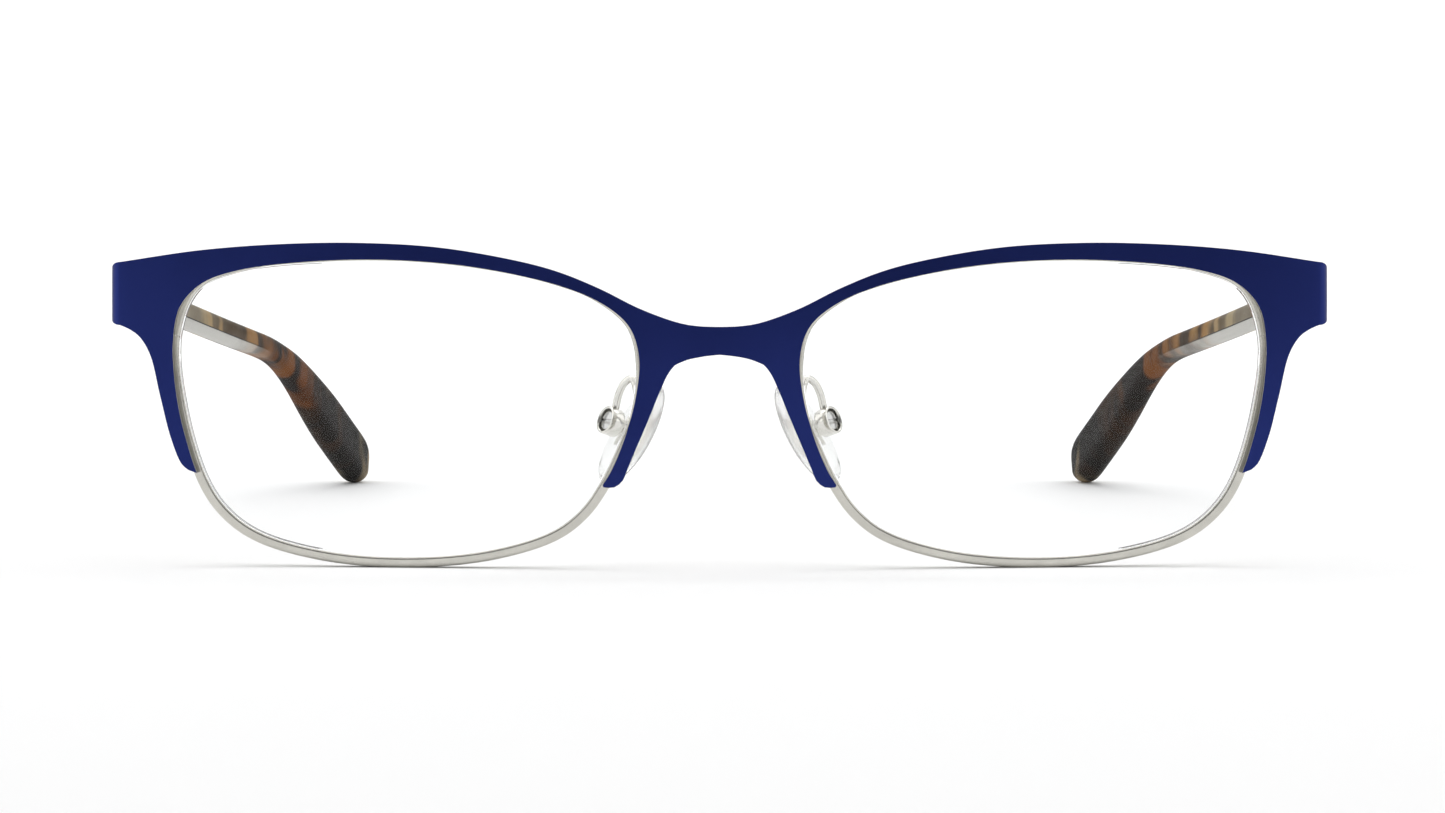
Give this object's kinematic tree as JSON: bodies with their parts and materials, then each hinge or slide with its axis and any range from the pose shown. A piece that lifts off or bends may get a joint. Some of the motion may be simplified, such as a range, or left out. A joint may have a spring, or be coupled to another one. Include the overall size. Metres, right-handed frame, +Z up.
{
  "type": "half-rim eyeglasses",
  "caption": "Half-rim spectacles: painted metal brow front over thin wire rims, clear lenses, rocking nose pads on wire arms and slim folding acetate temples.",
  "frame": {"origin": "middle of the width and depth of the open glasses, on the surface that the rims and temple tips rest on", "axes": "+X to the wearer's left, +Y back along the temples, +Z up; the front faces -Y"},
  "size_m": [0.1366, 0.142, 0.0362],
  "materials": {
    "front_paint": "satin indigo paint, bare silver back",
    "rim_metal": "satin silver",
    "hinge_metal": "satin silver",
    "screw_steel": "polished",
    "lens": "clear, polished",
    "silicone": "clear silicone",
    "temple_acetate": "matt tortoise acetate"
  },
  "bodies": {
    "front": {"front_plate": "front_paint", "eyewire_left": "rim_metal", "lens_left": "lens", "rim_lock_upper_left": "rim_metal", "rim_lock_lower_left": "rim_metal", "rim_lock_screw_left": "screw_steel", "pad_arm_left": "rim_metal", "pad_box_left": "rim_metal", "hinge_front_left": "hinge_metal", "hinge_screw_left": "screw_steel", "eyewire_right": "rim_metal", "lens_right": "lens", "rim_lock_upper_right": "rim_metal", "rim_lock_lower_right": "rim_metal", "rim_lock_screw_right": "screw_steel", "pad_arm_right": "rim_metal", "pad_box_right": "rim_metal", "hinge_front_right": "hinge_metal", "hinge_screw_right": "screw_steel"},
    "temple_left": {"hinge_temple_left": "hinge_metal", "temple_left": "temple_acetate", "temple_core_wire_left": "rim_metal"},
    "pad_left": {"nose_pad_left": "silicone", "pad_mount_left": "rim_metal", "pad_screw_left": "screw_steel"},
    "temple_right": {"hinge_temple_right": "hinge_metal", "temple_right": "temple_acetate", "temple_core_wire_right": "rim_metal"},
    "pad_right": {"nose_pad_right": "silicone", "pad_mount_right": "rim_metal", "pad_screw_right": "screw_steel"}
  },
  "joints": [
    {"name": "temple_left_fold", "type": "hinge", "parent": "front", "child": "temple_left", "pos_m": [0.0643, -0.05588, 0.03013], "axis": [-0.0089, 0.1215, 0.9925], "range_deg": [0, 85.5]},
    {"name": "temple_right_fold", "type": "hinge", "parent": "front", "child": "temple_right", "pos_m": [-0.0643, -0.05588, 0.03013], "axis": [-0.0089, -0.1215, -0.9925], "range_deg": [0, 81]},
    {"name": "pad_left_rock", "type": "hinge", "parent": "front", "child": "pad_left", "pos_m": [0.01169, -0.06303, 0.01592], "axis": [0.5592, 0.829, 0], "range_deg": [-10, 10]},
    {"name": "pad_right_rock", "type": "hinge", "parent": "front", "child": "pad_right", "pos_m": [-0.01169, -0.06303, 0.01592], "axis": [0.5592, -0.829, 0], "range_deg": [-10, 10]}
  ]
}
